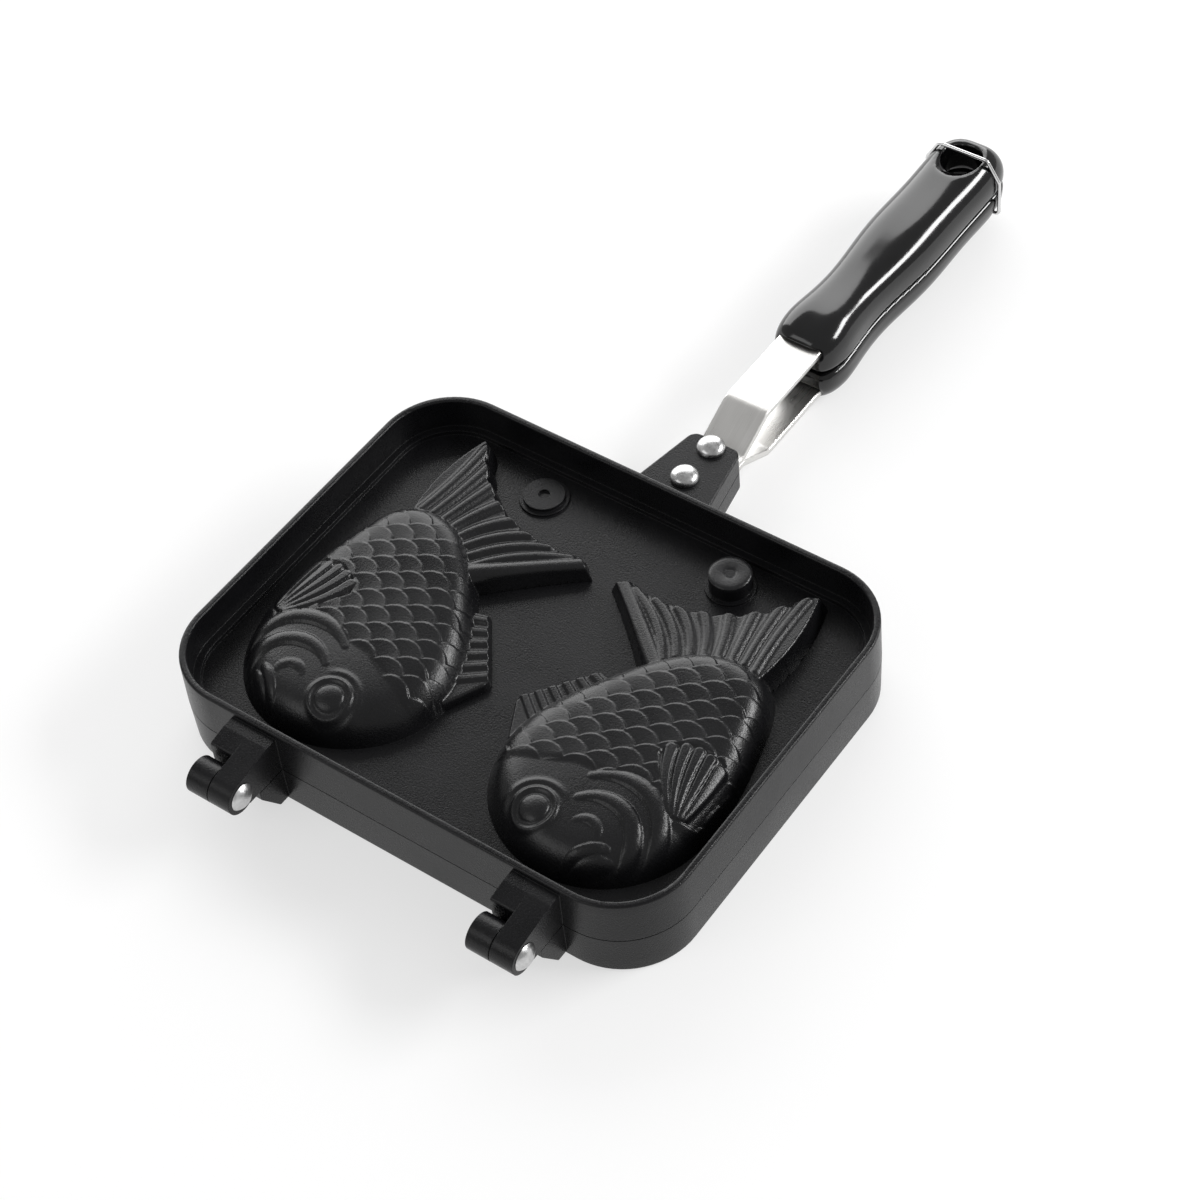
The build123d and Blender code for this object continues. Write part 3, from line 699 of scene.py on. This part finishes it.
# A look's grain values go to the group; bump is a strength; depth and edge are millimetres.
coatGrain = {"Size": 1900, "Dark": (0.0025, 0.0025, 0.003, 1), "Light": (0.008, 0.008, 0.009, 1),
             "Smoothest": 0.22, "Roughest": 0.38}
looks = {
    "coatedCast": {
        "plain": {"IOR": 1.33}, "grain": coatGrain,
        "bump": 0.8, "depth": 0.1, "edge": 0.35},
    "coatedRelief": {
        "plain": {"IOR": 1.42}, "grain": coatGrain,
        "bump": 0.8, "depth": 0.1, "edge": 0},
    "blackResin": {
        "plain": {"IOR": 1.52},
        "grain": {"Size": 300, "Dark": (0.0015, 0.0015, 0.0015, 1), "Light": (0.0035, 0.0035, 0.004, 1),
                  "Smoothest": 0.09, "Roughest": 0.14},
        "bump": 0.03, "depth": 0.02, "edge": 0},
    "strapSteel": {
        "plain": {"Metallic": 1},
        "grain": {"Size": 2600, "Stretch": (1, 0.03, 0.03), "Dark": (0.7, 0.69, 0.67, 1),
                  "Light": (0.82, 0.81, 0.79, 1), "Smoothest": 0.24, "Roughest": 0.36},
        "bump": 0.15, "depth": 0.02, "edge": 0.9},
    "polishedSteel": {
        "plain": {"Metallic": 1},
        "grain": {"Size": 900, "Dark": (0.42, 0.42, 0.42, 1), "Light": (0.7, 0.7, 0.7, 1),
                  "Smoothest": 0.22, "Roughest": 0.42},
        "bump": 0.4, "depth": 0.15, "edge": 0},
    "zincSteel": {
        "plain": {"Metallic": 1},
        "grain": {"Size": 900, "Dark": (0.42, 0.42, 0.42, 1), "Light": (0.6, 0.6, 0.58, 1),
                  "Smoothest": 0.3, "Roughest": 0.45},
        "bump": 0.1, "depth": 0.02, "edge": 0},
    "brightWire": {
        "plain": {"Metallic": 1},
        "grain": {"Size": 900, "Dark": (0.6, 0.6, 0.6, 1), "Light": (0.8, 0.8, 0.8, 1),
                  "Smoothest": 0.14, "Roughest": 0.24},
        "bump": 0.06, "depth": 0.02, "edge": 0},
}
nodeFinishes = {
    "lower_pan": "coatedCast", "upper_pan": "coatedCast",
    "lower_strap": "strapSteel", "upper_strap": "strapSteel",
    "lower_grip": "blackResin", "upper_grip": "blackResin",
    "lower_grip_screw": "zincSteel", "upper_grip_screw": "zincSteel",
    "wire_bail": "brightWire",
}


def finish(name, look, grain):
    material = bpy.data.materials.new(name)
    material.use_nodes = True
    tree = material.node_tree
    shader = tree.nodes["Principled BSDF"]
    for socket, value in look["plain"].items():
        shader.inputs[socket].default_value = value
    surface = add(tree, "Group", node_tree=grain)
    for socket, value in look["grain"].items():
        surface.inputs[socket].default_value = value
    bump = add(tree, "Bump", {"Strength": look["bump"], "Distance": look["depth"] * mm})
    if look["edge"]:
        rounded = add(tree, "Bevel", {"Radius": look["edge"] * mm}, samples=4)
        tree.links.new(rounded.outputs["Normal"], bump.inputs["Normal"])
    tree.links.new(surface.outputs["Color"], shader.inputs["Base Color"])
    tree.links.new(surface.outputs["Roughness"], shader.inputs["Roughness"])
    tree.links.new(surface.outputs["Height"], bump.inputs["Height"])
    tree.links.new(bump.outputs["Normal"], shader.inputs["Normal"])
    return material


# The nodes' facets are shaded as one smooth surface that breaks at angles over sharpFrom degrees.
facetForm = {"weld": 0.002, "sharpFrom": 32}


def smoothFacets(node):
    node.data.polygons.foreach_set("use_smooth", [True] * len(node.data.polygons))
    joined = node.modifiers.new("joinedFacets", "WELD")
    joined.merge_threshold = facetForm["weld"] * mm
    split = node.modifiers.new("sharpEdges", "EDGE_SPLIT")
    split.split_angle = math.radians(facetForm["sharpFrom"])


surfaceGrain = grainGroup()
finishes = {name: finish(name, look, surfaceGrain) for name, look in looks.items()}


def dress(piece, name):
    piece.data.materials.clear()
    piece.data.materials.append(finishes[name])


for skin in fishSkins() + bossCaps():
    dress(skin, "coatedRelief")
for head in rivetHeads():
    dress(head, "polishedSteel")
for grip in grips():
    dress(grip, "blackResin")
dress(bentBail(), "brightWire")
for name, node in nodes.items():
    dress(node, nodeFinishes.get(name, "polishedSteel"))
    smoothFacets(node)
print("finishes set")


# The floor, in metres. The white share is what the camera and reflections see of it as pure white.
floorForm = {"size": 12, "drop": 0.0002, "color": (0.95, 0.95, 0.95, 1), "roughness": 0.9, "whiteShare": 0.6}


def layFloor():
    bpy.ops.mesh.primitive_plane_add(size=floorForm["size"], location=(0, 0, -floorForm["drop"]))
    floor = bpy.context.object
    floor.name = "floor"
    paper = bpy.data.materials.new("palePaper")
    paper.use_nodes = True
    tree = paper.node_tree
    shader = tree.nodes["Principled BSDF"]
    shader.inputs["Base Color"].default_value = floorForm["color"]
    shader.inputs["Roughness"].default_value = floorForm["roughness"]
    shader.inputs["Specular IOR Level"].default_value = 0
    rays = add(tree, "LightPath")
    seen = rays.outputs["Is Camera Ray"]
    for kind in ("Is Glossy Ray", "Is Transmission Ray"):
        either = add(tree, "Math", operation="MAXIMUM")
        tree.links.new(seen, either.inputs[0])
        tree.links.new(rays.outputs[kind], either.inputs[1])
        seen = either.outputs["Value"]
    share = add(tree, "Math", {1: floorForm["whiteShare"]}, operation="MULTIPLY")
    white = add(tree, "Emission")
    both = add(tree, "MixShader")
    tree.links.new(seen, share.inputs[0])
    tree.links.new(share.outputs["Value"], both.inputs["Fac"])
    tree.links.new(shader.outputs["BSDF"], both.inputs[1])
    tree.links.new(white.outputs["Emission"], both.inputs[2])
    tree.links.new(both.outputs["Shader"], tree.nodes["Material Output"].inputs["Surface"])
    floor.data.materials.append(paper)


skyStrength = 0.4
lampAim = Vector((0, 0, 0.01))
lampForms = {
    # direction from the object, distance and size in metres, radiance against a white of 1
    "left": ((-0.65, 0.65, 0.36), 2.0, 2.6, 1.8, 2.5),
    "strip": ((0.64, 0.56, 0.51), 2.0, 1.2, 0.4, 17.0),
    "front": ((-0.3, -0.7, 0.6), 2.0, 1.2, 0.8, 1.3),
}


def lightRoom():
    room = bpy.data.worlds.new("room")
    bpy.context.scene.world = room
    room.use_nodes = True
    sky = room.node_tree.nodes["Background"]
    sky.inputs["Color"].default_value = (1, 1, 1, 1)
    sky.inputs["Strength"].default_value = skyStrength
    for name, (direction, distance, width, height, radiance) in lampForms.items():
        aim = Vector(direction).normalized()
        bpy.ops.object.light_add(type="AREA", location=lampAim + aim * distance)
        lamp = bpy.context.object
        lamp.name = name + "Lamp"
        lamp.data.shape = "RECTANGLE"
        lamp.data.size = width
        lamp.data.size_y = height
        lamp.data.energy = 4 * width * height * radiance  # radiance is the energy over 4 areas
        lamp.rotation_euler = aim.to_track_quat("Z", "Y").to_euler()


# Angles in degrees; the distance and target are millimetres of this script, and clipStart is metres.
cameraForm = {"azimuth": 40.074, "elevation": 49.245, "roll": -6.348, "distance": 770.4,
              "target": (2.12, 28.37, 0), "lens": 85.03, "sensor": 36, "clipStart": 0.01}


def placeCamera():
    azimuth, elevation, roll = (math.radians(cameraForm[key]) for key in ("azimuth", "elevation", "roll"))
    flat = math.cos(elevation)
    back = Vector((math.sin(azimuth) * flat, -math.cos(azimuth) * flat, math.sin(elevation)))
    right = Vector((math.cos(azimuth), math.sin(azimuth), 0))
    up = back.cross(right)
    turnedRight = right * math.cos(roll) + up * math.sin(roll)
    turnedUp = up * math.cos(roll) - right * math.sin(roll)
    place = Vector(toFrame(cameraForm["target"])) + back * cameraForm["distance"] * mm
    bpy.ops.object.camera_add(location=place)
    camera = bpy.context.object
    camera.rotation_euler = Matrix((turnedRight, turnedUp, back)).transposed().to_euler()
    camera.data.lens = cameraForm["lens"]
    camera.data.sensor_width = cameraForm["sensor"]
    camera.data.clip_start = cameraForm["clipStart"]
    bpy.context.scene.camera = camera


layFloor()
lightRoom()
placeCamera()
bpy.context.scene.view_settings.view_transform = "Standard"
bpy.ops.object.select_all(action="DESELECT")
print("floor, light and camera placed")
